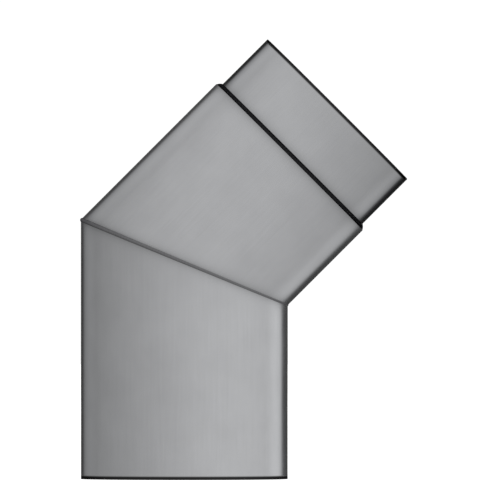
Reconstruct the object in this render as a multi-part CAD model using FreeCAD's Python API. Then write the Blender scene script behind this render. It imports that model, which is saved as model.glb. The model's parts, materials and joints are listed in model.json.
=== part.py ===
"""A 45 degree flue elbow for a stove or boiler pipe, welded from rolled steel tube.

Two straight legs are cut at 22.5 degrees and butt welded along the mitre. The lower leg ends in a
calibrated socket, which takes the spigot of the pipe before it. The upper leg ends in a thinner
joggled sleeve, welded into it, which stands out as the spigot for the pipe after it. Each tube is
rolled from flat sheet and closed with a lengthwise seam weld, and the seams are turned away from
one another so that no two meet at a joint.

Frame: millimetres, +Z up. The origin is the centre of the socket mouth, where the elbow rests on
its rim. The lower axis runs up +Z, and the upper axis leans towards +X in the XZ plane. The two
upper tubes are modelled along +Z, with heights counted from the bend centre, and then placed.
"""

import FreeCAD
import Part

import math
import os

# Driving dimensions
BEND_DEG = 45.0  # between the two axes
LEG_LENGTH = 160.0  # from the bend centre to either mouth, along the axis
WALL = 2.0  # sheet of both legs
SOCKET_BORE_R = 74.6  # calibrated bore of the socket, in a nominal 150 mm system
SOCKET_DEPTH = 55.0
CALIBRATION_STEP = 0.2  # how far the socket is sized up from the rolled tube
CALIBRATION_RAMP = 12.0  # length of the S bend between the two
SPIGOT_LENGTH = 50.0  # what stands out past the upper leg
SPIGOT_R = 73.0  # outside of the spigot
SLEEVE_WALL = 1.5
SLEEVE_LAP = 30.0  # what sits inside the upper leg
JOGGLE_LENGTH = 6.0  # the S bend that steps the sleeve down
JOGGLE_UNDER_LEG = 2.0  # how much of the joggle lies under the leg's end
DEBURR = 0.4  # rounding on the cut edges that show

# Weld metal
MITRE_BEAD_HALF_WIDTH = 1.6  # across the joint
MITRE_BEAD_HALF_HEIGHT = 1.5  # through the wall
COLLAR_WELD_LEG = 3.2  # of the fillet, along the sleeve
COLLAR_WELD_BULGE = 0.25
SEAM_WIDTH = 3.0  # of each lengthwise weld, round the tube
SEAM_CROWN = 0.25  # how far it stands out on the legs; it is dressed flush inside and on the sleeve
# Where each seam lies, in degrees round its own tube from the XZ plane; 90 is the far side, +Y
SOCKET_LEG_SEAM_AT = 110.0
SPIGOT_LEG_SEAM_AT = 70.0
SLEEVE_SEAM_AT = 130.0

# Derived sizes
SOCKET_R = SOCKET_BORE_R + WALL
TUBE_BORE_R = SOCKET_BORE_R - CALIBRATION_STEP
TUBE_R = TUBE_BORE_R + WALL
LAP_BORE_R = TUBE_BORE_R - SLEEVE_WALL
SPIGOT_BORE_R = SPIGOT_R - SLEEVE_WALL
COLLAR_AT = LEG_LENGTH - SPIGOT_LENGTH  # end of the upper leg
MITRE_DEG = BEND_DEG / 2
OVERLONG = 120.0  # a leg's blank runs this far past the bend centre before its mitre cut

ORIGIN = FreeCAD.Vector(0, 0, 0)
Y_AXIS = FreeCAD.Vector(0, 1, 0)
Z_AXIS = FreeCAD.Vector(0, 0, 1)
BEND_CENTRE = Z_AXIS * LEG_LENGTH
UPPER_TUBES = FreeCAD.Placement(BEND_CENTRE, FreeCAD.Rotation(Y_AXIS, BEND_DEG))
MITRE_PLANE = FreeCAD.Placement(BEND_CENTRE, FreeCAD.Rotation(Y_AXIS, MITRE_DEG))


def point(r, z):
    """A point of a turned section, on the XZ plane: radius r and height z."""
    return FreeCAD.Vector(r, 0, z)


def polar(radius, angle):
    """The step from an arc's centre to a point on it, angle radians up from the X axis."""
    return point(radius * math.cos(angle), radius * math.sin(angle))


def polyline(*points):
    return [Part.LineSegment(a, b).toShape() for a, b in zip(points, points[1:])]


def arc_through(start, middle, end):
    return Part.Arc(start, middle, end).toShape()


def rounded_corner(start, corner, end):
    """A quarter circle from start to end, in place of a square corner."""
    centre = start + end - corner
    radius = (start - centre).Length
    return arc_through(start, centre + (corner - centre).normalize() * radius, end)


def s_bend(start, end, offset):
    """Two equal arcs that step a sheet inwards, from one run along +Z to another.

    start and end lie on the middle of the sheet. offset moves the bend out to one of its skins,
    and the skins stay one sheet's thickness apart all the way.
    """
    drop = start.x - end.x
    run = end.z - start.z
    radius = (run**2 + drop**2) / (4 * drop)
    turn = math.asin(run / 2 / radius)
    first_centre = start - point(radius, 0)
    second_centre = end + point(radius, 0)
    first = [first_centre + polar(radius + offset, turn * part) for part in (0, 0.5, 1)]
    second = [second_centre - polar(radius - offset, turn * part) for part in (1, 0.5, 0)]
    return [arc_through(*first), arc_through(*second)]


def stepped_skin(start, step_start, step_end, end, offset):
    """One skin of a sheet that runs along +Z, steps inwards in an S bend and runs on."""
    out = point(offset, 0)
    return [
        *polyline(start + out, step_start + out),
        *s_bend(step_start, step_end, offset),
        *polyline(step_end + out, end + out),
    ]


def turned(edges, start_deg=0.0, sweep_deg=360.0):
    """A closed section on the XZ plane, turned about Z from start_deg by sweep_deg."""
    section = Part.Face(Part.Wire(Part.__sortEdges__(edges)))
    return section.revolve(ORIGIN, Z_AXIS, sweep_deg).rotate(ORIGIN, Z_AXIS, start_deg)


def tube_and_seam(tube_section, seam_section, seam_at, tube_r):
    """A rolled tube with a gap along it, and the weld that fills the gap."""
    gap = math.degrees(SEAM_WIDTH / tube_r)
    seam_start = seam_at - gap / 2
    return turned(tube_section, seam_start + gap, 360.0 - gap), turned(seam_section, seam_start, gap)


def placed(shape, placement):
    """A copy of a shape, carried to a placement."""
    return shape.transformed(placement.toMatrix())


def socket_leg_section(crown=0.0):
    """The lower tube's wall up to its blank end, with its outer skin moved out by crown."""
    top = LEG_LENGTH + OVERLONG
    ramp_end = SOCKET_DEPTH + CALIBRATION_RAMP
    half = WALL / 2
    middle = [
        point(SOCKET_BORE_R + half, DEBURR),
        point(SOCKET_BORE_R + half, SOCKET_DEPTH),
        point(TUBE_BORE_R + half, ramp_end),
        point(TUBE_BORE_R + half, top),
    ]
    inner = SOCKET_BORE_R
    outer = SOCKET_R + crown
    return [
        *stepped_skin(*middle, half + crown),
        *stepped_skin(*middle, -half),
        *polyline(point(TUBE_R + crown, top), point(TUBE_BORE_R, top)),
        rounded_corner(point(inner, DEBURR), point(inner, 0), point(inner + DEBURR, 0)),
        *polyline(point(inner + DEBURR, 0), point(outer - DEBURR, 0)),
        rounded_corner(point(outer - DEBURR, 0), point(outer, 0), point(outer, DEBURR)),
    ]


def spigot_leg_section(crown=0.0):
    """The upper tube's wall from its blank end, with its outer skin moved out by crown."""
    outer = TUBE_R + crown
    round_start = point(outer, COLLAR_AT - DEBURR)
    round_end = point(outer - DEBURR, COLLAR_AT)
    return [
        *polyline(
            round_end,
            point(TUBE_BORE_R, COLLAR_AT),
            point(TUBE_BORE_R, -OVERLONG),
            point(outer, -OVERLONG),
            round_start,
        ),
        rounded_corner(round_start, point(outer, COLLAR_AT), round_end),
    ]


def sleeve_section():
    """The sleeve's wall: the lap inside the leg, the joggle, and the spigot with its mouth."""
    half = SLEEVE_WALL / 2
    lap_start = COLLAR_AT - SLEEVE_LAP
    joggle_start = COLLAR_AT - JOGGLE_UNDER_LEG
    middle = [
        point(LAP_BORE_R + half, lap_start),
        point(LAP_BORE_R + half, joggle_start),
        point(SPIGOT_BORE_R + half, joggle_start + JOGGLE_LENGTH),
        point(SPIGOT_BORE_R + half, LEG_LENGTH - DEBURR),
    ]
    inner = SPIGOT_BORE_R
    outer = SPIGOT_R
    top = LEG_LENGTH
    return [
        *stepped_skin(*middle, half),
        *stepped_skin(*middle, -half),
        *polyline(point(LAP_BORE_R, lap_start), point(TUBE_BORE_R, lap_start)),
        rounded_corner(point(inner, top - DEBURR), point(inner, top), point(inner + DEBURR, top)),
        *polyline(point(inner + DEBURR, top), point(outer - DEBURR, top)),
        rounded_corner(point(outer - DEBURR, top), point(outer, top), point(outer, top - DEBURR)),
    ]


def collar_fillet():
    """The fillet from the upper leg's end to the sleeve, which still fills the sleeve's wall."""
    toe = point(TUBE_R - DEBURR, COLLAR_AT)
    tip = point(SPIGOT_R, COLLAR_AT + COLLAR_WELD_LEG)
    slope = (tip - toe).normalize()
    crown = (toe + tip) / 2 + point(slope.z, -slope.x) * COLLAR_WELD_BULGE
    half = SLEEVE_WALL / 2
    root = polyline(tip, point(SPIGOT_BORE_R + half, tip.z), point(LAP_BORE_R + half, COLLAR_AT), toe)
    return turned([arc_through(toe, crown, tip), *root])


def mitre_bead():
    """The butt weld between the legs: an oval bead round the mitre, at the middle of the wall.

    The mitre plane cuts the tube in an ellipse: the tube's radius along Y, and that radius over
    the cosine of half the bend down the slope.
    """
    short_r = TUBE_BORE_R + WALL / 2
    long_r = short_r / math.cos(math.radians(MITRE_DEG))
    path = Part.Wire([Part.Ellipse(ORIGIN, long_r, short_r).toShape()])
    oval = Part.Ellipse(ORIGIN, MITRE_BEAD_HALF_WIDTH, MITRE_BEAD_HALF_HEIGHT).toShape()
    # The oval stands across the path where it starts, its long way square to the mitre plane
    across = FreeCAD.Rotation(Z_AXIS, FreeCAD.Vector(1, 0, 0), FreeCAD.Vector(), "XYZ")
    start = placed(oval, FreeCAD.Placement(FreeCAD.Vector(long_r, 0, 0), across))
    bead = Part.Solid(path.makePipeShell([Part.Wire([start])], True, True))
    return placed(bead, MITRE_PLANE)


def under_mitre():
    """A block that fills everything under the mitre plane."""
    size = 4 * LEG_LENGTH
    block = Part.makeBox(size, size, size, FreeCAD.Vector(-size / 2, -size / 2, -size))
    return placed(block, MITRE_PLANE)


def build():
    """Every piece of the elbow, by name."""
    under = under_mitre()
    bead = mitre_bead()

    socket_leg, socket_seam = (
        blank.common(under).cut(bead)
        for blank in tube_and_seam(
            socket_leg_section(), socket_leg_section(SEAM_CROWN), SOCKET_LEG_SEAM_AT, TUBE_R
        )
    )
    spigot_leg, spigot_seam = (
        placed(blank, UPPER_TUBES).cut(under).cut(bead)
        for blank in tube_and_seam(
            spigot_leg_section(), spigot_leg_section(SEAM_CROWN), SPIGOT_LEG_SEAM_AT, TUBE_R
        )
    )
    sleeve, sleeve_seam = (
        placed(piece, UPPER_TUBES)
        for piece in tube_and_seam(sleeve_section(), sleeve_section(), SLEEVE_SEAM_AT, SPIGOT_R)
    )
    collar_weld = collar_fillet().cut(turned(sleeve_section()))

    return {
        "socket_leg": socket_leg,
        "socket_leg_seam_weld": socket_seam,
        "spigot_leg": spigot_leg,
        "spigot_leg_seam_weld": spigot_seam,
        "mitre_weld": bead,
        "spigot_sleeve": sleeve,
        "spigot_sleeve_seam_weld": sleeve_seam,
        "collar_weld": placed(collar_weld, UPPER_TUBES),
    }


def main():
    os.makedirs("parts", exist_ok=True)
    for name, shape in build().items():
        if len(shape.Solids) != 1 or not shape.isValid():
            raise ValueError(f"{name} isn't one valid solid")
        box = shape.optimalBoundingBox()
        low = f"{box.XMin:.1f} {box.YMin:.1f} {box.ZMin:.1f}"
        high = f"{box.XMax:.1f} {box.YMax:.1f} {box.ZMax:.1f}"
        print(f"{name}: {shape.Volume:.0f} mm3, from {low} to {high}")
        shape.Solids[0].exportStep(f"parts/{name}.step")


main()
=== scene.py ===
"""Looks of a welded 45 degree flue elbow in bare, mill-finish steel.

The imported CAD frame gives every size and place. Around it this file builds the sheets and the weld
metal again as fine surfaces, with rounded cut edges, weld ripples and heat marks that the plain CAD
solids leave out, and dresses each in its own procedural finish. Lengths are in metres unless a name
says millimetres. The lower tube runs along +Z, and the two upper tubes lean towards +X.
"""

import json
import logging
import math
from dataclasses import dataclass, field
from enum import Enum
from typing import Any

import bpy
import numpy as np
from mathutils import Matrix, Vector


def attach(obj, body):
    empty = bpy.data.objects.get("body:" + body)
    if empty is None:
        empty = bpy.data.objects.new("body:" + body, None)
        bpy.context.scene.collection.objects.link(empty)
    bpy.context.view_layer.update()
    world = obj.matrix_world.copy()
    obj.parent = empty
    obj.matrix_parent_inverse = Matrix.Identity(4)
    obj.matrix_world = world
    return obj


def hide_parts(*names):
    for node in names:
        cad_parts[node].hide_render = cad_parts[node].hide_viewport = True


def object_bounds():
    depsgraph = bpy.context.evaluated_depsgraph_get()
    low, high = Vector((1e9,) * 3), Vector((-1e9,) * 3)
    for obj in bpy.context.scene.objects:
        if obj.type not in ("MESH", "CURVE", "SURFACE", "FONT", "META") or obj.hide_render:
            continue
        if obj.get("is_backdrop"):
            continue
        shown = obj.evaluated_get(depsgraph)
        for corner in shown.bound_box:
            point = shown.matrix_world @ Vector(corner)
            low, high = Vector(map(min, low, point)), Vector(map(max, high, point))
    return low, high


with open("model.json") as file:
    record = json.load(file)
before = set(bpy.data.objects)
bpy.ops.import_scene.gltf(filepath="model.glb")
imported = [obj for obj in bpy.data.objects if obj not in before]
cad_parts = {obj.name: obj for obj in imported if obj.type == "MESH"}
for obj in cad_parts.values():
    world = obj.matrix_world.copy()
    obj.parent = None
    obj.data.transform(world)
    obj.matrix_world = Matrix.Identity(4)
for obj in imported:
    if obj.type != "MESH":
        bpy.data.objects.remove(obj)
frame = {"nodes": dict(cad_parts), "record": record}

LOG = logging.getLogger("flue_elbow")
MM = 0.001
TURN = 2 * math.pi
CUT_ROUNDING = 0.4 * MM  # on the corners of every cut edge
Array = np.ndarray


# ---------------------------------------------------------------- sizes from the CAD frame


@dataclass(frozen=True)
class TubeSpan:
    """How far a node reaches along a tube's axis and away from it.

    Attributes:
        low: Lowest height along the axis.
        high: Highest height along the axis.
        inner: Smallest distance from the axis.
        outer: Largest distance from the axis.
    """

    low: float
    high: float
    inner: float
    outer: float


@dataclass(frozen=True)
class TubeAxis:
    """A straight tube's axis, which lies in the XZ plane.

    Attributes:
        origin: Where heights along the axis are counted from.
        tilt: Lean from +Z towards +X, in radians.
    """

    origin: tuple[float, float, float]
    tilt: float

    def place(self, radius: Array, angle: Array, height: Array) -> Array:
        """Turns a tube's own coordinates into points.

        A point is the origin, plus radius times (cos angle, sin angle) across the axis, plus
        height along it. Angle 0 is the side that faces +X and down, and a quarter turn is +Y.

        Args:
            radius: Distance from the axis.
            angle: Angle round the axis, in radians.
            height: Distance along the axis from the origin.

        Returns:
            An array of points, with one more dimension than the inputs share.
        """
        radius, angle, height = np.broadcast_arrays(radius, angle, height)
        across = radius * np.cos(angle)
        x = across * math.cos(self.tilt) + height * math.sin(self.tilt)
        z = height * math.cos(self.tilt) - across * math.sin(self.tilt)
        return np.stack([x, radius * np.sin(angle), z], axis=-1) + np.array(self.origin)

    def measure(self, node: str) -> TubeSpan:
        """Measures a CAD node about this axis.

        Args:
            node: Name of the CAD node.

        Returns:
            How far the node reaches along the axis and away from it.
        """
        mesh = frame["nodes"][node].data
        flat = np.empty(len(mesh.vertices) * 3, np.float32)
        mesh.vertices.foreach_get("co", flat)
        local = flat.reshape(-1, 3) - np.array(self.origin)
        height = local[:, 0] * math.sin(self.tilt) + local[:, 2] * math.cos(self.tilt)
        across = local[:, 0] * math.cos(self.tilt) - local[:, 2] * math.sin(self.tilt)
        radius = np.hypot(across, local[:, 1])
        reach = (height.min(), height.max(), radius.min(), radius.max())
        return TubeSpan(*(float(value) for value in reach))


@dataclass(frozen=True)
class Layout:
    """Where the elbow's axes and its middle lie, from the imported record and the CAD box.

    Attributes:
        lower: Axis of the socket leg, from the centre of its mouth.
        upper: Axis of the spigot leg and its sleeve, from the bend centre.
        mitre: Normal of the mitre plane, from the bend centre.
        middle_x: Middle of the elbow along X.
        socket_depth: Depth of the socket's calibrated bore.
        spigot_radius: Outside of the spigot.
        spigot_bore: Inside of the spigot.
    """

    lower: TubeAxis
    upper: TubeAxis
    mitre: TubeAxis
    middle_x: float
    socket_depth: float
    spigot_radius: float
    spigot_bore: float

    @classmethod
    def from_record(cls, record: dict[str, Any]) -> "Layout":
        """Reads the layout off the mounts at the elbow's two ends.

        The bend centre is where the spigot's axis meets the lower one, which is the Z axis.

        Args:
            record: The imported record.

        Returns:
            The layout.
        """
        mounts = {mount["name"]: mount for mount in record["mounts"]}
        spigot, socket = mounts["spigot"], mounts["socket_bore"]
        lean_x, _, lean_z = spigot["axis"]
        bend_z = spigot["pos_m"][2] - spigot["pos_m"][0] * lean_z / lean_x
        bend = math.atan2(lean_x, lean_z)
        low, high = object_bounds()
        return cls(
            lower=TubeAxis((0.0, 0.0, socket["pos_m"][2]), 0.0),
            upper=TubeAxis((0.0, 0.0, bend_z), bend),
            mitre=TubeAxis((0.0, 0.0, bend_z), bend / 2),
            middle_x=(low[0] + high[0]) / 2,
            socket_depth=socket["dims"]["length_mm"] * MM + CUT_ROUNDING,
            spigot_radius=spigot["dims"]["r_mm"] * MM,
            spigot_bore=mounts["spigot_bore"]["dims"]["r_mm"] * MM,
        )

    def mitre_height(self, radius: float, angle: Array) -> Array:
        """How far the mitre lies up the lower tube: it falls by the tangent of half the bend."""
        return -radius * np.cos(angle) * math.tan(self.mitre.tilt)


# ---------------------------------------------------------------- surfaces on a grid


@dataclass
class GridSurface:
    """A surface on a grid of points, made of quads.

    Attributes:
        points: Array of rows by columns by 3. The surface faces the way that a column step
            crossed with a row step points.
        closed_rows: The last row joins the first.
        closed_columns: The last column joins the first.
        capped: A ladder of faces closes each open end, across a loop that starts at its fold.
        channels: Named values for the material to read, for each grid point.
    """

    points: Array
    closed_rows: bool = False
    closed_columns: bool = True
    capped: bool = False
    channels: dict[str, Array] = field(default_factory=dict)

    def to_object(self, name: str) -> bpy.types.Object:
        """Builds the mesh and links its object.

        Args:
            name: Name of the piece.

        Returns:
            The new object, at the origin, shaded smooth except at its square corners.
        """
        rows, columns = self.points.shape[:2]
        grid = np.arange(rows * columns).reshape(rows, columns)
        index = np.vstack([grid, grid[:1]]) if self.closed_rows else grid
        index = np.hstack([index, index[:, :1]]) if self.closed_columns else index
        quads = np.stack([index[:-1, :-1], index[:-1, 1:], index[1:, 1:], index[1:, :-1]], axis=-1)
        faces = quads.reshape(-1, 4).tolist()
        if self.capped and not self.closed_rows:
            faces += ladder(grid[0, ::-1]) + ladder(grid[-1])
        if self.capped and not self.closed_columns:
            faces += ladder(grid[:, 0]) + ladder(grid[::-1, -1])
        mesh = bpy.data.meshes.new(name)
        mesh.from_pydata(self.points.reshape(-1, 3), [], faces)
        for channel, values in self.channels.items():
            layer = mesh.attributes.new(channel, "FLOAT", "POINT")
            spread = np.broadcast_to(values, (rows, columns)).astype(np.float32)
            layer.data.foreach_set("value", spread.ravel())
        mesh.shade_smooth()
        mesh.set_sharp_from_angle(angle=math.radians(40))
        piece = bpy.data.objects.new(name, mesh)
        bpy.context.scene.collection.objects.link(piece)
        return piece


def ladder(loop: Array) -> list[list[int]]:
    """Closes a loop with quads between its first half and its second half, read backwards.

    Args:
        loop: Points of the loop, an even number, which face the way that they run round.

    Returns:
        The quads.
    """
    half = len(loop) // 2
    left, right = loop[:half], loop[::-1][:half]
    return np.stack([left[:-1], left[1:], right[1:], right[:-1]], axis=-1).tolist()


def around(count: int) -> Array:
    """Angles of the columns round a ring, from 0 to just short of a full turn."""
    return np.arange(count) * (TURN / count)


def stations(start: float, *runs: tuple[float, int]) -> Array:
    """Heights along a wall, spaced evenly between stops.

    Args:
        start: The first height.
        runs: Where each run ends, and in how many steps.

    Returns:
        The heights, from the first to the last.
    """
    pieces = [np.array([start])]
    for end, steps in runs:
        pieces.append(np.linspace(pieces[-1][-1], end, steps + 1)[1:])
    return np.concatenate(pieces)


def fan_out(levels: Array, edge: Array, steps: int) -> Array:
    """Stations that keep one height all round up to the last level, then fan out to an edge.

    Args:
        levels: Heights that are the same all round.
        edge: Height of the edge at each column.
        steps: How many stations the fan has.

    Returns:
        Heights, stations by columns.
    """
    level = np.repeat(levels[:, None], len(edge), axis=1)
    share = np.linspace(0, 1, steps + 1)[1:, None]
    return np.vstack([level, levels[-1] + share * (edge[None, :] - levels[-1])])


def half_wave(height: Array, start: float, length: float) -> Array:
    """A smooth step from 0 to 1: half a cosine wave from start over length."""
    share = np.clip((height - start) / length, 0.0, 1.0)
    return (1 - np.cos(math.pi * share)) / 2


def wander(position: Array, seed: int) -> Array:
    """Smooth repeatable noise along a line.

    Random values at whole positions are joined by cubic steps, s * s * (3 - 2 * s).

    Args:
        position: Where to read the noise, in steps of its own length.
        seed: Which line of random values to read.

    Returns:
        Values from -1 to 1.
    """
    values = np.random.default_rng(seed).uniform(-1, 1, 512)
    cell = np.floor(position).astype(int)
    share = position - cell
    blend = share * share * (3 - 2 * share)
    return values[cell % 512] * (1 - blend) + values[(cell + 1) % 512] * blend


# ---------------------------------------------------------------- finishes


def to_linear(colour: str) -> tuple[float, float, float, float]:
    """Turns an sRGB hex colour into a linear one.

    Args:
        colour: Six hex digits, such as "c4c5c7".

    Returns:
        Red, green, blue and an alpha of 1.
    """
    parts = [int(colour[i : i + 2], 16) / 255 for i in (0, 2, 4)]
    lit = [p / 12.92 if p <= 0.04045 else ((p + 0.055) / 1.055) ** 2.4 for p in parts]
    return (*lit, 1.0)


def add(
    tree: bpy.types.NodeTree,
    kind: str,
    settings: dict[str | int, Any],
    links: dict[str | int, bpy.types.NodeSocket],
) -> bpy.types.bpy_prop_collection:
    """Adds a node with its settings and the links into it.

    Args:
        tree: Node tree that takes the node.
        kind: Blender's name for the node, without its "ShaderNode" start.
        settings: Values by property name, or by the name or number of an input.
        links: Sockets to link from, by the name or number of the input.

    Returns:
        The new node's outputs.
    """
    node = tree.nodes.new("ShaderNode" + kind)
    for key, value in settings.items():
        if isinstance(key, str) and key in node.bl_rna.properties:
            setattr(node, key, value)
        else:
            node.inputs[key].default_value = value
    for key, socket in links.items():
        tree.links.new(socket, node.inputs[key])
    return node.outputs


@dataclass(frozen=True)
class Shader:
    """What every metal finish here ends in: one metallic shader and its bump.

    Attributes:
        tree: Node tree of the material.
        edge_tint: Tint of the metal's glancing reflections, as sRGB hex.
        bump_mm: Height of the bump.
    """

    tree: bpy.types.NodeTree
    edge_tint: str
    bump_mm: float

    def close(
        self,
        colour: bpy.types.NodeSocket,
        roughness: bpy.types.NodeSocket,
        height: bpy.types.NodeSocket,
    ) -> None:
        """Links the surface's values into the shader, and the shader into the output.

        Args:
            colour: The metal's reflection colour.
            roughness: Its roughness.
            height: Height of the bump, from 0 to 1.
        """
        bump = add(self.tree, "Bump", {"Distance": self.bump_mm * MM}, {"Height": height})
        shader = add(
            self.tree,
            "BsdfPrincipled",
            {"Metallic": 1.0, "Specular Tint": to_linear(self.edge_tint)},
            {"Base Color": colour, "Roughness": roughness, "Normal": bump["Normal"]},
        )
        add(self.tree, "OutputMaterial", {}, {"Surface": shader["BSDF"]})


def new_material(name: str) -> bpy.types.Material:
    """Makes an empty node material.

    Args:
        name: Name of the material.

    Returns:
        The material, with no nodes.
    """
    material = bpy.data.materials.new(name)
    material.use_nodes = True
    material.node_tree.nodes.clear()
    return material


@dataclass(frozen=True)
class MillSteel:
    """Cold-rolled steel sheet, left bare as it came from the mill and rolled into a tube.

    To the eye it is an even satin grey with soft, broad reflections. The mill's rolls leave a
    faint grain along the tube, and the oil that it was wiped with leaves a cloudy unevenness. An
    oxide blackens it where a weld or a cut has heated it. Its colour also carries painted shade,
    which darkens it away from the middle of the elbow in place of light that falls off towards
    both ends. This is set for the look of the whole and isn't a known property of such steel.

    Attributes:
        name: Name of the material.
        axis: Axis of the tube, which the grain follows.
        middle_x: Middle of the elbow, where there is no painted shade and the steel is brightest.
        roughness: Middle roughness of the satin surface.
        edge_tint: Tint of its glancing reflections.
        colour: The metal's own reflection colour.
        burnt: The same under a full oxide.
        grain_mm: Spacing of the grain. The real 0.1 mm is too fine to show, so it is coarser.
        cloud_mm: Size of the cloudy patches.
        painted_shade_share: Share of the brightness that the painted shade takes 100 mm away from
        the middle. It grows as the square.
    """

    name: str
    axis: TubeAxis
    middle_x: float
    roughness: float = 0.18
    edge_tint: str = "959595"
    colour: str = "c4c5c7"
    burnt: str = "1e1d1d"
    grain_mm: float = 0.9
    cloud_mm: float = 28.0
    painted_shade_share: float = 0.22

    def build(self) -> bpy.types.Material:
        """Makes the material.

        Returns:
            The material.
        """
        material = new_material(self.name)
        tree = material.node_tree
        place = add(tree, "TexCoord", {}, {})["Object"]
        # Turned so that the pattern's own Z runs along the tube
        turned = {"vector_type": "TEXTURE", "Location": self.axis.origin, "Rotation": (0, self.axis.tilt, 0)}
        local = add(tree, "Mapping", turned, {"Vector": place})["Vector"]
        drawn_out = add(tree, "Mapping", {"Scale": (1, 1, 0.02)}, {"Vector": local})["Vector"]
        fine = {"Scale": 1 / (self.grain_mm * MM), "Detail": 3.0, "Roughness": 0.6}
        grain = add(tree, "TexNoise", fine, {"Vector": drawn_out})["Fac"]
        broad = {"Scale": 1 / (self.cloud_mm * MM), "Detail": 4.0, "Roughness": 0.55}
        cloud = add(tree, "TexNoise", broad, {"Vector": local})["Fac"]

        # Brightness: clouds, times grain, times painted shade that grows with the square of the way from the
        # middle
        patchy = {"From Min": 0.3, "From Max": 0.7, "To Min": 0.965, "To Max": 1.035}
        patches = add(tree, "MapRange", patchy, {"Value": cloud})["Result"]
        streaky = {"From Min": 0.3, "From Max": 0.7, "To Min": 0.98, "To Max": 1.02}
        streaks = add(tree, "MapRange", streaky, {"Value": grain})["Result"]
        x = add(tree, "SeparateXYZ", {}, {0: place})["X"]
        # Painted shade: the colour darkens with the square of the distance from the elbow's middle along X
        away = add(tree, "Math", {"operation": "SUBTRACT", 1: self.middle_x}, {0: x})["Value"]
        square = add(tree, "Math", {"operation": "MULTIPLY"}, {0: away, 1: away})["Value"]
        falling = {"operation": "MULTIPLY_ADD", 1: -self.painted_shade_share / 0.1**2, 2: 1.0}
        painted_shade = add(tree, "Math", falling, {0: square})["Value"]
        uneven = add(tree, "Math", {"operation": "MULTIPLY"}, {0: patches, 1: streaks})["Value"]
        value = add(tree, "Math", {"operation": "MULTIPLY"}, {0: uneven, 1: painted_shade})["Value"]
        clean = {"Color": to_linear(self.colour)}
        metal = add(tree, "HueSaturation", clean, {"Value": value})["Color"]

        oxide = add(tree, "Attribute", {"attribute_name": "oxide"}, {})["Fac"]
        blend = {"data_type": "RGBA", 7: to_linear(self.burnt)}
        colour = add(tree, "Mix", blend, {0: oxide, 6: metal})[2]
        satin = {"To Min": self.roughness - 0.04, "To Max": self.roughness + 0.04}
        smooth = add(tree, "MapRange", satin, {"Value": cloud})["Result"]
        scaly = {"operation": "MULTIPLY_ADD", 1: 0.3}
        roughness = add(tree, "Math", scaly, {0: oxide, 2: smooth})["Value"]
        Shader(tree, self.edge_tint, 0.005).close(colour, roughness, grain)
        return material


class WeldSkin(Enum):
    """How weld metal was left: its crown's colour, its toes' colour and its roughness."""

    AS_WELDED = ("7c7c7e", "2c2b2c", 0.45)
    SOOTED = ("2e2e30", "131313", 0.5)
    BRUSHED = ("a3a4a6", "5e5e60", 0.32)


@dataclass(frozen=True)
class WeldMetal:
    """Solidified steel weld metal.

    To the eye it is darker and rougher than the sheet. Its ripples are in the mesh, and a scaly
    oxide lies in their valleys and along the toes, while the crown stays brighter.

    Attributes:
        name: Name of the material.
        skin: How it was left.
        scale_mm: Size of the oxide's scales. Real ones, of 0.1 mm or so, are too fine to show.
    """

    name: str
    skin: WeldSkin
    scale_mm: float = 0.8

    def build(self) -> bpy.types.Material:
        """Makes the material.

        Returns:
            The material.
        """
        crown, toe, rough = self.skin.value
        material = new_material(self.name)
        tree = material.node_tree
        place = add(tree, "TexCoord", {}, {})["Object"]
        fine = {"Scale": 1 / (self.scale_mm * MM), "Detail": 4.0, "Roughness": 0.6}
        scales = add(tree, "TexNoise", fine, {"Vector": place})["Fac"]
        height = add(tree, "Attribute", {"attribute_name": "crown"}, {})["Fac"]
        mottled = {"operation": "MULTIPLY_ADD", 1: 0.7}
        shine = add(tree, "Math", mottled, {0: scales, 2: height})["Value"]
        share = add(tree, "MapRange", {"From Min": 0.35, "From Max": 1.2}, {"Value": shine})["Result"]
        two_tone = {"data_type": "RGBA", 6: to_linear(toe), 7: to_linear(crown)}
        colour = add(tree, "Mix", two_tone, {0: share})[2]
        worn = {"To Min": rough + 0.1, "To Max": rough - 0.1}
        roughness = add(tree, "MapRange", worn, {"Value": scales})["Result"]
        Shader(tree, "707070", 0.05).close(colour, roughness, scales)
        return material


# ---------------------------------------------------------------- pieces


def hand_over(piece: bpy.types.Object, material: bpy.types.Material, node: str) -> None:
    """Dresses a piece and hands it to the frame.

    Args:
        piece: The piece, in place.
        material: Its finish.
        node: CAD node that it stands for.
    """
    piece.data.materials.append(material)
    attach(piece, "root")
    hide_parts(node)
    LOG.info("%s: %d faces, for %s", piece.name, len(piece.data.polygons), node)


@dataclass(frozen=True)
class Ripples:
    """The scale-like ripples that a weld pool leaves as it freezes.

    Attributes:
        length: Length of the weld. A whole number of ripples fills it, so they close up on a ring.
        seed: Which unevenness to use.
        depth: Height of a ripple.
        pitch: Spacing of the ripples.
        bow: How far a ripple's middle runs ahead of its ends.
    """

    length: float
    seed: int
    depth: float = 0.16 * MM
    pitch: float = 2.3 * MM
    bow: float = 1.1 * MM

    def height(self, along: Array, across: Array) -> Array:
        """Height of the ripples.

        Each is a ramp that rises over most of one pitch and drops off steeply, bowed by the square
        of its place across the weld. Smooth noise makes the pitch and the depth uneven.

        Args:
            along: Distance along the weld.
            across: Place across it, from -1 to 1.

        Returns:
            Heights, from half the depth below the weld's own surface to half above.
        """
        beat = along / self.length * round(self.length / self.pitch)
        phase = beat + 0.35 * wander(beat / 2.7, self.seed) - self.bow / self.pitch * across**2
        part = phase - np.floor(phase)
        ramp = np.where(part < 0.8, part / 0.8, (1 - part) / 0.2) - 0.5
        return self.depth * ramp * (1 + 0.4 * wander(beat / 5.1, self.seed + 1))


@dataclass(frozen=True)
class Wall:
    """The middle of a tube's sheet, stations by columns.

    Attributes:
        angle: Angle of each column.
        height: Height of each point.
        middle: Its distance from the axis.
        oxide: How far the metal is oxidised there, from 0 to 1.
    """

    angle: Array
    height: Array
    middle: Array
    oxide: Array


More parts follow.
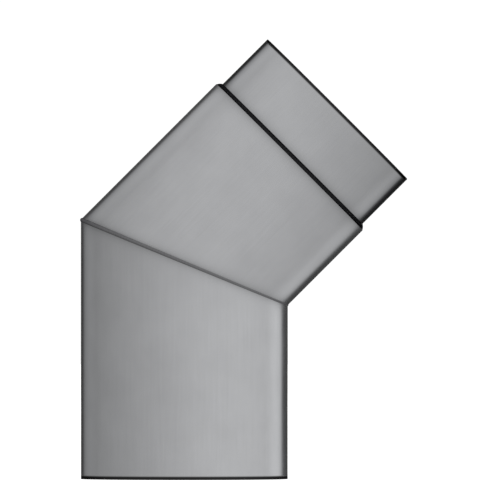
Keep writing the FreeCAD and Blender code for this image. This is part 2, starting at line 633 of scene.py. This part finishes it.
@dataclass
class RolledTube:
    """A tube rolled from flat sheet and closed by a lengthwise weld.

    Attributes:
        layout: Where the elbow's axes lie.
        axis: Axis of the tube.
        node: CAD node of the sheet. Its seam's node has the same name and "_seam_weld".
        slot: Name of a material slot for the sheet. Not used.
        seam_at: Angle of the seam round the axis.
        seam_crown: How far the seam stands out of the sheet.
        seam_width: Width of the seam.
        columns: Points round the tube.
    """

    layout: Layout
    axis: TubeAxis
    node: str
    slot: str
    seam_at: float
    seam_crown: float
    seam_width: float = 3.0 * MM
    columns: int = 320

    def __post_init__(self) -> None:
        """Measures the CAD node."""
        self.span = self.axis.measure(self.node)

    @property
    def sheet(self) -> float:
        """Thickness of the sheet."""
        raise NotImplementedError

    @property
    def half_gap(self) -> float:
        """Half of the angle that the seam takes up."""
        return self.seam_width / 2 / self.span.outer

    def wall(self, angle: Array) -> Wall:
        """Works out the middle of the sheet at the given angles."""
        raise NotImplementedError

    def sheet_surface(self) -> GridSurface:
        """Wraps the wall in a closed skin, open along the seam.

        From the middle of the near edge, the skin follows the wall up the outside, over the far
        edge and down the inside. Each edge is square, with a quarter circle at either corner.

        Returns:
            The skin.
        """
        span = np.linspace(self.seam_at + self.half_gap, self.seam_at - self.half_gap + TURN, self.columns)
        wall = self.wall(span)
        half = self.sheet / 2
        turn = np.linspace(0, math.pi / 2, 5)[:, None]
        inset = CUT_ROUNDING * (1 - np.sin(turn))
        drop = CUT_ROUNDING * (1 - np.cos(turn))
        up, down = slice(1, -1), slice(-2, 0, -1)
        near, far = wall.height[:1], wall.height[-1:]
        near_r, far_r = wall.middle[:1], wall.middle[-1:]
        heights = [
            (near + inset)[::-1], wall.height[up], far - inset,
            (far - inset)[::-1], wall.height[down], near + inset,
        ]
        radii = [
            (near_r + half - drop)[::-1], wall.middle[up] + half, far_r + half - drop,
            (far_r - half + drop)[::-1], wall.middle[down] - half, near_r - half + drop,
        ]
        near_oxide = np.repeat(wall.oxide[:1], len(turn), axis=0)
        far_oxide = np.repeat(wall.oxide[-1:], len(turn), axis=0)
        oxide = [near_oxide, wall.oxide[up], far_oxide, far_oxide, wall.oxide[down], near_oxide]
        points = self.axis.place(np.vstack(radii), span[None, :], np.vstack(heights))
        return GridSurface(
            points, closed_rows=True, closed_columns=False, capped=True, channels={"oxide": np.vstack(oxide)}
        )

    def seam_surface(self) -> GridSurface:
        """Fills the gap with weld metal: a closed bar, crowned outside and flush inside.

        The crown is a parabola across the seam, with brushed-down ripples on it.

        Returns:
            The bar.
        """
        across = np.linspace(-1, 1, 15)
        wall = self.wall(self.seam_at + across * self.half_gap)
        low, high = wall.height[0].max(), wall.height[-1].min()
        length = high - low
        share = np.linspace(0, 1, max(2, round(length / (0.45 * MM))))[:, None]
        height = wall.height[0] + share * (wall.height[-1] - wall.height[0])
        centre = len(across) // 2
        middle = np.interp(height[:, centre], wall.height[:, centre], wall.middle[:, centre])[:, None]
        ripples = Ripples(length, seed=41, depth=0.3 * self.seam_crown + 0.02 * MM)
        hump = 1 - across**2
        crown = self.seam_crown * hump + ripples.height(height - low, across) * hump
        outer = middle + self.sheet / 2 + crown
        inner = np.repeat(middle - self.sheet / 2, len(across), axis=1)
        radius = np.hstack([outer, inner[:, ::-1]])
        angle = np.concatenate([wall.angle, wall.angle[::-1]])
        points = self.axis.place(radius, angle[None, :], np.hstack([height, height[:, ::-1]]))
        rise = crown / max(float(crown.max()), 0.01 * MM)
        return GridSurface(points, capped=True, channels={"crown": np.hstack([rise, 0.5 + 0 * inner])})

    def build(self, steel: bpy.types.Material, seam: bpy.types.Material) -> None:
        """Builds and dresses the sheet and its seam.

        Args:
            steel: Finish of the sheet.
            seam: Finish of the seam.
        """
        hand_over(self.sheet_surface().to_object(self.node + "_sheet"), steel, self.node)
        seam_node = self.node + "_seam_weld"
        hand_over(self.seam_surface().to_object(self.node + "_seam"), seam, seam_node)


@dataclass
class Leg(RolledTube):
    """Either leg: thicker sheet, cut square at one end and along the mitre at the other.

    Attributes:
        root_gap: Gap between the two legs' sheets, which the mitre weld fills.
    """

    root_gap: float = 1.6 * MM

    @property
    def sheet(self) -> float:
        """Thickness of the sheet, which the spigot leg's straight wall gives."""
        straight = self.layout.upper.measure("spigot_leg")
        return straight.outer - straight.inner

    @property
    def tube_middle(self) -> float:
        """Middle of the sheet, away from the socket."""
        return self.layout.upper.measure("spigot_leg").inner + self.sheet / 2

    def mitre_edge(self, angle: Array) -> Array:
        """Height above the bend centre at which a lower tube stops, inside the weld."""
        stop = self.root_gap / 2 / math.cos(self.layout.mitre.tilt)
        return self.layout.mitre_height(self.tube_middle, angle) - stop


@dataclass
class SocketLeg(Leg):
    """The lower leg: calibrated at its mouth, and cut along the mitre at its top.

    Attributes:
        ramp: Length over which the calibrated mouth narrows to the tube.
    """

    ramp: float = 12 * MM

    def wall(self, angle: Array) -> Wall:
        """Works out the middle of the sheet.

        The mouth is wider by the calibration step, which half a cosine wave takes away.

        Args:
            angle: Angles of the columns.

        Returns:
            The wall, from the mouth up.
        """
        bend_height = self.layout.upper.origin[2] - self.axis.origin[2]
        top = bend_height + self.mitre_edge(angle)
        mouth_end = self.layout.socket_depth
        ramp_end = mouth_end + self.ramp
        levels = stations(0.0, (4.2 * MM, 8), (mouth_end, 18), (ramp_end, 12), (110 * MM, 14))
        height = fan_out(levels, top, 24)
        mouth_middle = self.span.outer - self.seam_crown - self.sheet / 2
        step = mouth_middle - self.tube_middle
        middle = mouth_middle - step * half_wave(height, mouth_end, self.ramp)
        oxide = cut_heat(height, 2.0 * MM) + weld_heat(top - height)
        return Wall(angle, height, middle, np.clip(oxide, 0, 1))


@dataclass
class SpigotLeg(Leg):
    """The upper leg: cut along the mitre at its foot, and square where the sleeve comes out."""

    def wall(self, angle: Array) -> Wall:
        """Works out the middle of the sheet, which is straight all the way.

        Args:
            angle: Angles of the columns.

        Returns:
            The wall, from the mitre up.
        """
        foot = -self.mitre_edge(angle)
        end = self.span.high
        height = fan_out(stations(end, (end - 6 * MM, 8), (60 * MM, 20)), foot, 36)[::-1]
        oxide = weld_heat(height - foot) + weld_heat(end - height)
        return Wall(angle, height, np.full_like(height, self.tube_middle), np.clip(oxide, 0, 1))


@dataclass
class SpigotSleeve(RolledTube):
    """The thinner sleeve that laps inside the upper leg and joggles down to the spigot.

    Attributes:
        joggle: Length of the joggle.
        joggle_under_leg: How far inside the leg's end the joggle starts.
    """

    joggle: float = 6 * MM
    joggle_under_leg: float = 2 * MM

    @property
    def joggle_start(self) -> float:
        """Where the joggle starts, along the axis."""
        return self.axis.measure("spigot_leg").high - self.joggle_under_leg

    @property
    def sheet(self) -> float:
        """Thickness of the sheet."""
        return self.layout.spigot_radius - self.layout.spigot_bore

    def middle(self, height: Array) -> Array:
        """Middle of the sheet: the lap's, less the step times half a cosine wave."""
        step = self.span.outer - self.layout.spigot_radius
        taken = step * half_wave(height, self.joggle_start, self.joggle)
        return self.span.outer - self.sheet / 2 - taken

    def wall(self, angle: Array) -> Wall:
        """Works out the middle of the sheet.

        Args:
            angle: Angles of the columns.

        Returns:
            The wall, from the lap's end up.
        """
        start, end = self.joggle_start, self.span.high
        runs = ((start, 10), (start + self.joggle, 14), (end - 6 * MM, 22), (end, 12))
        height = np.repeat(stations(self.span.low, *runs)[:, None], len(angle), axis=1)
        weld_top = self.axis.measure("collar_weld").high
        oxide = cut_heat(end - height, 1.8 * MM) + weld_heat(height - weld_top)
        return Wall(angle, height, self.middle(height), np.clip(oxide, 0, 1))


def cut_heat(distance: Array, width: float) -> Array:
    """Oxide beside a cut mouth: nearly full over its width, then gone within a millimetre."""
    return 0.96 * (1 - half_wave(distance, width, 1.0 * MM))


def weld_heat(distance: Array) -> Array:
    """Oxide beside a weld: it falls off exponentially, with no more than a trace past 10 mm."""
    return 0.35 * np.exp(-np.clip(distance, 0, None) / (3.0 * MM))


@dataclass
class MitreWeld:
    """The butt weld round the mitre.

    Attributes:
        layout: Where the elbow's axes lie.
        radius: Middle of the legs' sheet.
        columns: Points along the weld.
        rows: Points round its section.
    """

    layout: Layout
    radius: float
    columns: int = 1440
    rows: int = 28

    def surface(self) -> GridSurface:
        """Sweeps an oval bead along the ellipse in which the mitre plane cuts the sheet's middle.

        The ellipse has the sheet's middle radius along Y, and that over the cosine of half the
        bend down the slope. The ripples stand on the oval's outer half.

        Returns:
            The bead.
        """
        turn = around(self.columns)
        stretch = 1 / math.cos(self.layout.mitre.tilt)
        centre_x, centre_y = self.radius * stretch * np.cos(turn), self.radius * np.sin(turn)
        steep = np.hypot(np.cos(turn), stretch * np.sin(turn))
        out_x, out_y = np.cos(turn) / steep, stretch * np.sin(turn) / steep
        step = np.hypot(centre_x - np.roll(centre_x, -1), centre_y - np.roll(centre_y, -1))
        along = np.cumsum(step) - step
        bead = self.layout.mitre.measure("mitre_weld")
        half_width = (bead.high - bead.low) / 2
        half_height = bead.outer - self.radius * stretch
        section = -around(self.rows)[:, None]
        outside = np.clip(np.sin(section), 0, 1)
        ripple = Ripples(float(step.sum()), seed=11).height(along, np.cos(section))
        lift = half_height * np.sin(section) + ripple * np.sqrt(outside)
        x, y = centre_x + lift * out_x, centre_y + lift * out_y
        side = half_width * np.cos(section) * np.ones_like(along)
        points = self.layout.mitre.place(np.hypot(x, y), np.arctan2(y, x), side)
        crown = outside + 3000 * ripple
        return GridSurface(points, closed_rows=True, channels={"crown": crown})

    def build(self, material: bpy.types.Material) -> None:
        """Builds and dresses the bead."""
        hand_over(self.surface().to_object("mitre_bead"), material, "mitre_weld")


@dataclass
class CollarWeld:
    """The fillet weld in the corner between the upper leg's end and the sleeve.

    Attributes:
        sleeve: The sleeve that it is laid on.
        bulge: How far its face bows out.
        columns: Points along the weld.
    """

    sleeve: SpigotSleeve
    bulge: float = 0.3 * MM
    columns: int = 1440

    def surface(self) -> GridSurface:
        """Turns the fillet's section round the axis.

        The section is a half sine wave on the line from the leg's end to the sleeve, closed by a
        root that lies within the sleeve's sheet.

        Returns:
            The fillet.
        """
        turn = around(self.columns)[None, :]
        span = self.sleeve.axis.measure("collar_weld")
        tip_r = self.sleeve.layout.spigot_radius
        share = np.linspace(0, 1, 13)[:, None]
        slant = math.hypot(span.high - span.low, span.outer - tip_r)
        out_r, out_s = (span.high - span.low) / slant, (span.outer - tip_r) / slant
        ripples = Ripples(TURN * span.outer, seed=23)
        hump = np.sin(math.pi * share)
        ripple = ripples.height(turn * span.outer, 2 * share - 1)
        lift = self.bulge * hump + ripple * np.sqrt(np.clip(hump, 0, 1))
        face_r = span.outer + (tip_r - span.outer) * share + lift * out_r
        face_s = span.low + (span.high - span.low) * share + lift * out_s
        root_s = np.repeat([[span.high], [span.low]], self.columns, axis=1)
        root_r = self.sleeve.middle(root_s)
        radius, height = np.vstack([face_r, root_r]), np.vstack([face_s, root_s])
        points = self.sleeve.axis.place(radius, turn, height)
        crown = np.vstack([hump * 0.8 + 3000 * ripple, np.zeros_like(root_r)])
        return GridSurface(points, closed_rows=True, channels={"crown": crown})

    def build(self, material: bpy.types.Material) -> None:
        """Builds and dresses the fillet."""
        hand_over(self.surface().to_object("collar_fillet"), material, "collar_weld")


# ---------------------------------------------------------------- studio


@dataclass(frozen=True)
class Studio:
    """A pale floor, a soft surrounding light, and a long lens level with the elbow.

    The levels, the slope and the flag's angles were set by trial, for the tone of the whole.

    Attributes:
        view_width: Width of what the camera sees at the elbow.
        aim_x: Where the camera points, along X.
        aim_z: The same, above the floor.
        lens_mm: Focal length, long for a nearly flat view. Past about 1700 mm, a camera that is
            moved back to see the whole elbow loses it beyond its far clip.
        sensor_mm: Width of the sensor.
        level: Brightness of the dome.
        slope: How much brighter the dome is towards +X, +Y and +Z.
        behind: Direction of the dark flag behind the elbow, which draws its outline.
        flag_core: Half angle of the flag, in degrees.
        flag_rim: Where the flag ends and a bright rim starts.
        rim_end: Where the rim has faded into the dome.
        flag_level: Brightness of the flag, as a share of the dome's.
        rim_level: The same of the rim.
    """

    view_width: float = 0.3692
    aim_x: float = 0.0485
    aim_z: float = 0.1691
    lens_mm: float = 1500.0
    sensor_mm: float = 36.0
    level: float = 0.67
    slope: tuple[float, float, float] = (0.103, -0.045, 0.145)
    behind: tuple[float, float, float] = (0.105, 0.9945, 0.0)
    flag_core: float = 29.0
    flag_rim: float = 38.0
    rim_end: float = 72.0
    flag_level: float = 0.35
    rim_level: float = 1.55

    def camera(self) -> None:
        """Sets the camera square to the elbow's side."""
        data = bpy.data.cameras.new("long_lens")
        data.lens, data.sensor_width = self.lens_mm, self.sensor_mm
        distance = self.view_width * self.lens_mm / self.sensor_mm
        data.clip_end = 2 * distance
        camera = bpy.data.objects.new("long_lens", data)
        camera.location = (self.aim_x, -distance, self.aim_z)
        camera.rotation_euler = (math.pi / 2, 0, 0)
        bpy.context.scene.collection.objects.link(camera)
        bpy.context.scene.camera = camera

    def floor(self) -> None:
        """Lays a matt white floor, which glows a little so that it meets the white backdrop."""
        reach = 60.0
        edge = np.array([-reach, reach])
        points = np.stack([*np.meshgrid(edge, edge), np.zeros((2, 2))], axis=-1)
        floor = GridSurface(points, closed_columns=False).to_object("studio_floor")
        material = new_material("matt_white_paper")
        tree = material.node_tree
        paper = add(tree, "BsdfDiffuse", {"Color": to_linear("f3f3f3")}, {})[0]
        glow = add(tree, "Emission", {"Strength": 0.7}, {})[0]
        both = add(tree, "AddShader", {}, {0: paper, 1: glow})[0]
        add(tree, "OutputMaterial", {}, {"Surface": both})
        floor.data.materials.append(material)
        # The dome alone lights the steel, so the floor stays out of its reflections
        floor.visible_glossy = False
        floor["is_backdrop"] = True

    def step(
        self, tree: bpy.types.NodeTree, value: bpy.types.NodeSocket, far: float, near: float, to: float
    ) -> bpy.types.NodeSocket:
        """A smooth step round the flag's centre, from 1 at the far angle to another level.

        Args:
            tree: Node tree of the world.
            value: Cosine of the angle from the flag's centre.
            far: Angle at which the step starts, in degrees.
            near: Angle at which it ends, closer in.
            to: Level at and inside the near angle.

        Returns:
            The step's output.
        """
        ends = {"From Min": math.cos(math.radians(far)), "From Max": math.cos(math.radians(near))}
        levels = {"interpolation_type": "SMOOTHSTEP", "To Min": 1.0, "To Max": to}
        return add(tree, "MapRange", {**levels, **ends}, {"Value": value})["Result"]

    def surroundings(self) -> None:
        """Lights the set with a soft dome, with a flag and a bright rim behind the elbow."""
        world = bpy.data.worlds.new("soft_dome")
        bpy.context.scene.world = world
        world.use_nodes = True
        tree = world.node_tree
        tree.nodes.clear()
        direction = add(tree, "TexCoord", {}, {})["Generated"]
        dot = {"operation": "DOT_PRODUCT"}
        lean = add(tree, "VectorMath", {**dot, 1: self.slope}, {0: direction})["Value"]
        dome = add(tree, "Math", {"operation": "ADD", 1: self.level}, {0: lean})["Value"]
        rear = add(tree, "VectorMath", {**dot, 1: self.behind}, {0: direction})["Value"]
        rim = self.step(tree, rear, self.rim_end, self.flag_rim, self.rim_level)
        flag = self.step(tree, rear, self.flag_rim, self.flag_core, self.flag_level / self.rim_level)
        shaped = add(tree, "Math", {"operation": "MULTIPLY"}, {0: rim, 1: flag})["Value"]
        strength = add(tree, "Math", {"operation": "MULTIPLY"}, {0: dome, 1: shaped})["Value"]
        white = {"Color": (1.0, 1.0, 1.0, 1.0)}
        light = add(tree, "Background", white, {"Strength": strength})[0]
        backdrop = add(tree, "Background", {**white, "Strength": 1.05}, {})[0]
        seen = add(tree, "LightPath", {}, {})["Is Camera Ray"]
        both = add(tree, "MixShader", {}, {0: seen, 1: light, 2: backdrop})[0]
        add(tree, "OutputWorld", {}, {"Surface": both})

    def build(self) -> None:
        """Sets the stage and the plain view transform."""
        self.camera()
        self.floor()
        self.surroundings()
        bpy.context.scene.view_settings.view_transform = "Standard"


def main() -> None:
    """Builds the elbow piece by piece, then the studio."""
    logging.basicConfig(level=logging.INFO, format="%(name)s: %(message)s")
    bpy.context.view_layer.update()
    layout = Layout.from_record(frame["record"])
    lower, upper = layout.lower, layout.upper
    brushed = WeldMetal("brushed_weld_seam", WeldSkin.BRUSHED).build()

    socket = SocketLeg(layout, lower, "socket_leg", "leg_sheet", math.radians(110), 0.25 * MM)
    socket.build(MillSteel("mill_steel_socket_leg", lower, layout.middle_x).build(), brushed)
    leg = SpigotLeg(layout, upper, "spigot_leg", "leg_sheet", math.radians(70), 0.25 * MM)
    leg.build(MillSteel("mill_steel_spigot_leg", upper, layout.middle_x).build(), brushed)
    sleeve = SpigotSleeve(layout, upper, "spigot_sleeve", "sleeve_sheet", math.radians(130), 0.0)
    smooth_steel = MillSteel("mill_steel_sleeve", upper, layout.middle_x, 0.12, "606060")
    sleeve.build(smooth_steel.build(), brushed)
    MitreWeld(layout, leg.tube_middle).build(WeldMetal("mitre_weld_metal", WeldSkin.AS_WELDED).build())
    CollarWeld(sleeve).build(WeldMetal("collar_weld_metal", WeldSkin.SOOTED).build())

    Studio().build()


if __name__ == "__main__":
    main()
